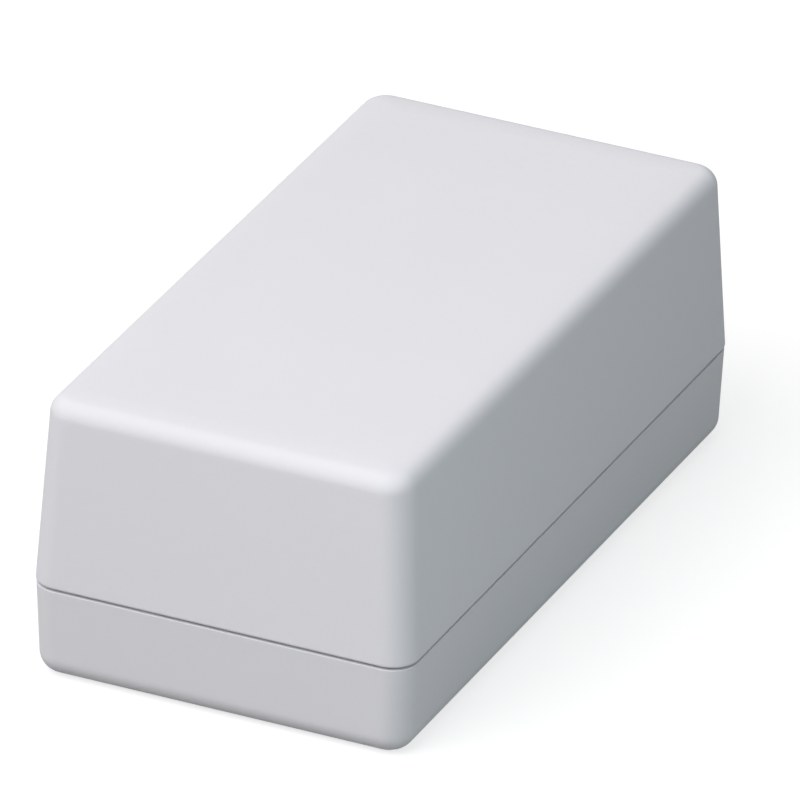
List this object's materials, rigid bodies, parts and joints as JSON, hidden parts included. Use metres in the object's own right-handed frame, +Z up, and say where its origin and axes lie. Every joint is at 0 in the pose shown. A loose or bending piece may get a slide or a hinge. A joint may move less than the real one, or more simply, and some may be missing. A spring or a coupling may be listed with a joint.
{
  "type": "plastic project box",
  "caption": "Two-shell moulded ABS enclosure: deep drafted cover with screw pillars, shallow base with lip, sleeves and board standoffs, closed by self-tapping screws.",
  "frame": {"origin": "middle of the underside, on the surface that the box stands on", "axes": "+Z up through the cover, +Y along the length, +X across the width"},
  "size_m": [0.065, 0.125, 0.048],
  "materials": {
    "cover_plastic": "pale grey ABS, finely spark-eroded satin",
    "base_plastic": "pale grey ABS, finely spark-eroded satin",
    "screw_steel": "bright zinc plated"
  },
  "bodies": {
    "base": {"base": "base_plastic", "cover_screws": "screw_steel"},
    "cover": {"cover": "cover_plastic"}
  },
  "joints": [
    {"name": "cover_lift", "type": "slide", "parent": "base", "child": "cover", "axis": [0, 0, 1], "range_m": [0, 0.06]}
  ]
}
